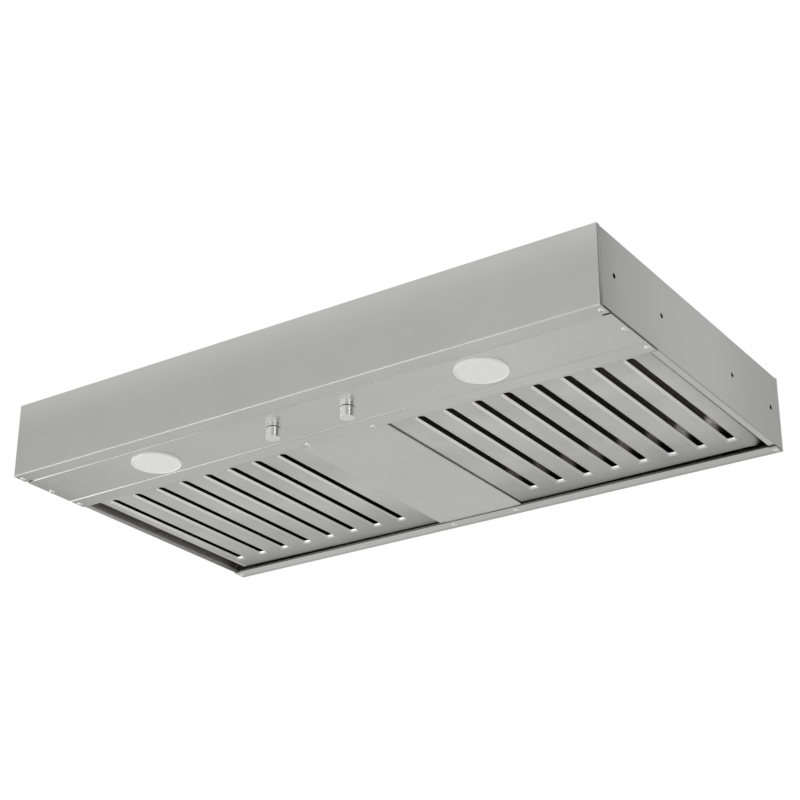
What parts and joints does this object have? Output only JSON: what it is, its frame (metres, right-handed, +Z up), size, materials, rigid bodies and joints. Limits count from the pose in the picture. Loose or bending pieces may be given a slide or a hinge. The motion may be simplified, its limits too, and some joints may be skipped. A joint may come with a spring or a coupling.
{
  "type": "range hood insert",
  "caption": "Stainless range hood insert with slotted baffle filters, round lamps and two knobs below, and a blower box with a duct collar on top.",
  "frame": {"origin": "centre of the underside plane: mid-width, mid-depth, at the bottom of the lips", "axes": "+X to the right seen from the front, +Y to the rear, +Z up to the duct collar; the front panel faces -Y"},
  "size_m": [0.873, 0.483, 0.2725],
  "materials": {
    "brushed_steel": "brushed stainless sheet",
    "inner_steel": "plain stainless sheet inside the filters",
    "galvanised": "galvanised sheet with a dull spangle",
    "polished": "polished",
    "zinc_plated": "zinc plated",
    "lamp_ring": "white, satin",
    "lamp_lens": "frosted white",
    "lamp_body": "die cast",
    "black_plastic": "moulded",
    "white_plastic": "moulded",
    "motor_shell": "black enamel",
    "wheel_sheet": "galvanised sheet",
    "black_rubber": "moulded"
  },
  "bodies": {
    "hood_body": {"front_panel": "brushed_steel", "rear_panel": "brushed_steel", "left_side_panel": "brushed_steel", "right_side_panel": "brushed_steel", "top_panel": "galvanised", "control_panel": "brushed_steel", "filter_rail": "brushed_steel", "centre_panel": "brushed_steel", "compartment_wall": "galvanised", "corner_brackets": "galvanised", "filter_catches": "zinc_plated", "left_lamp_ring": "lamp_ring", "left_lamp_lens": "lamp_lens", "left_lamp_body": "lamp_body", "right_lamp_ring": "lamp_ring", "right_lamp_lens": "lamp_lens", "right_lamp_body": "lamp_body", "lamp_clips": "zinc_plated", "light_switch": "black_plastic", "fan_switch": "black_plastic", "switch_nuts": "zinc_plated", "lamp_driver": "white_plastic", "motor_capacitor": "lamp_body", "blower_box": "galvanised", "blower_box_ends": "galvanised", "scroll_wrap": "galvanised", "scroll_left_side": "galvanised", "scroll_right_side": "galvanised", "motor": "motor_shell", "motor_mount": "galvanised", "duct_collar": "galvanised", "damper_pin": "zinc_plated", "junction_box": "galvanised", "junction_cover": "galvanised", "terminal_block": "white_plastic", "cable_bushing": "black_plastic", "wire_grommet": "black_rubber", "underside_screws": "polished", "top_screws": "zinc_plated", "box_screws": "zinc_plated"},
    "left_filter": {"left_filter_face": "brushed_steel", "left_filter_baffles": "inner_steel", "left_filter_frame": "inner_steel", "left_filter_hooks": "inner_steel"},
    "right_filter": {"right_filter_face": "brushed_steel", "right_filter_baffles": "inner_steel", "right_filter_frame": "inner_steel", "right_filter_hooks": "inner_steel"},
    "light_control": {"light_knob": "polished", "light_shaft": "zinc_plated"},
    "fan_control": {"fan_knob": "polished", "fan_shaft": "zinc_plated"},
    "wheel": {"blower_wheel": "wheel_sheet", "wheel_hub": "lamp_body", "motor_shaft": "zinc_plated"},
    "front_flap": {"front_damper": "galvanised"},
    "rear_flap": {"rear_damper": "galvanised"}
  },
  "joints": [
    {"name": "left_filter_swing", "type": "hinge", "parent": "hood_body", "child": "left_filter", "pos_m": [-0.24585, 0.2198, 0.0016], "axis": [1, 0, 0], "range_deg": [0, 38]},
    {"name": "right_filter_swing", "type": "hinge", "parent": "hood_body", "child": "right_filter", "pos_m": [0.24585, 0.2198, 0.0016], "axis": [1, 0, 0], "range_deg": [0, 38]},
    {"name": "light_knob_turn", "type": "hinge", "parent": "hood_body", "child": "light_control", "pos_m": [-0.0564, -0.1759, 0], "axis": [0, 0, 1], "range_deg": [0, 270]},
    {"name": "fan_knob_turn", "type": "hinge", "parent": "hood_body", "child": "fan_control", "pos_m": [0.0564, -0.1759, 0], "axis": [0, 0, 1], "range_deg": [0, 270]},
    {"name": "wheel_spin", "type": "hinge", "parent": "hood_body", "child": "wheel", "pos_m": [0, 0.085, 0.1208], "axis": [1, 0, 0], "continuous": true},
    {"name": "front_flap_swing", "type": "hinge", "parent": "hood_body", "child": "front_flap", "pos_m": [0, 0.141, 0.228], "axis": [-1, 0, 0], "range_deg": [0, 75]},
    {"name": "rear_flap_swing", "type": "hinge", "parent": "hood_body", "child": "rear_flap", "pos_m": [0, 0.141, 0.228], "axis": [1, 0, 0], "range_deg": [0, 75]}
  ]
}
